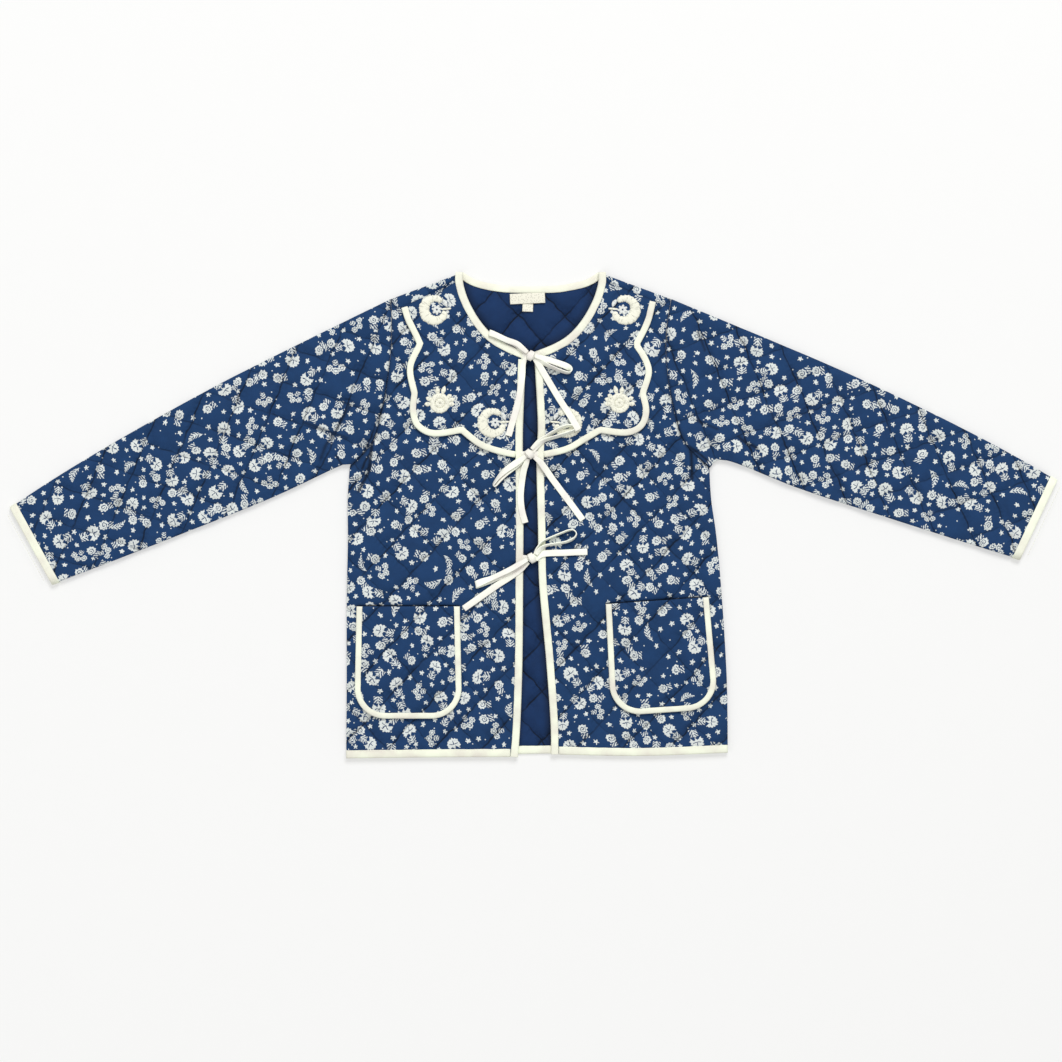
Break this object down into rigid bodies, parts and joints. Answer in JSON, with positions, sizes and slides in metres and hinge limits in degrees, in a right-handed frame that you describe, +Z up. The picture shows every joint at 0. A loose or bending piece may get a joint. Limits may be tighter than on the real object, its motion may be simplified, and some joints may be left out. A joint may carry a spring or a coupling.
{
  "type": "quilted jacket",
  "caption": "Child's quilted floral jacket laid flat, with scalloped collar, bound edges, patch pockets and tie bows down the front.",
  "frame": {"origin": "middle of the part's box, on the surface that it lies on", "axes": "+X to the viewer's right along the sleeves, +Y to the neck, +Z up from the surface"},
  "size_m": [1.0464, 0.4859, 0.019],
  "materials": {
    "printed_cotton": "matt navy cotton with a small pale floral print",
    "lining_cotton": "matt navy cotton",
    "ivory_binding": "matt ivory cotton",
    "ivory_tie": "matt ivory cotton",
    "label_tape": "smooth woven tape, blank"
  },
  "bodies": {
    "root": {"back": "lining_cotton", "bow_1_knot": "ivory_tie", "bow_1_loop_left": "ivory_tie", "bow_1_loop_right": "ivory_tie", "bow_1_tail_left": "ivory_tie", "bow_1_tail_right": "ivory_tie", "bow_2_knot": "ivory_tie", "bow_2_loop_left": "ivory_tie", "bow_2_loop_right": "ivory_tie", "bow_2_tail_left": "ivory_tie", "bow_2_tail_right": "ivory_tie", "bow_3_knot": "ivory_tie", "bow_3_loop_left": "ivory_tie", "bow_3_loop_right": "ivory_tie", "bow_3_tail_left": "ivory_tie", "bow_3_tail_right": "ivory_tie", "collar_left": "printed_cotton", "collar_right": "printed_cotton", "cuff_binding_left": "ivory_binding", "cuff_binding_right": "ivory_binding", "edge_binding_left": "ivory_binding", "edge_binding_right": "ivory_binding", "front_left": "printed_cotton", "front_right": "printed_cotton", "hem_binding_back": "ivory_binding", "hem_binding_left": "ivory_binding", "hem_binding_right": "ivory_binding", "neck_binding_back": "ivory_binding", "neck_binding_left": "ivory_binding", "neck_binding_right": "ivory_binding", "neck_label": "label_tape", "pocket_binding_left": "ivory_binding", "pocket_binding_right": "ivory_binding", "pocket_left": "printed_cotton", "pocket_right": "printed_cotton", "scallop_binding_left": "ivory_binding", "scallop_binding_right": "ivory_binding", "size_tab": "label_tape", "sleeve_left": "printed_cotton", "sleeve_right": "printed_cotton"}
  },
  "joints": []
}
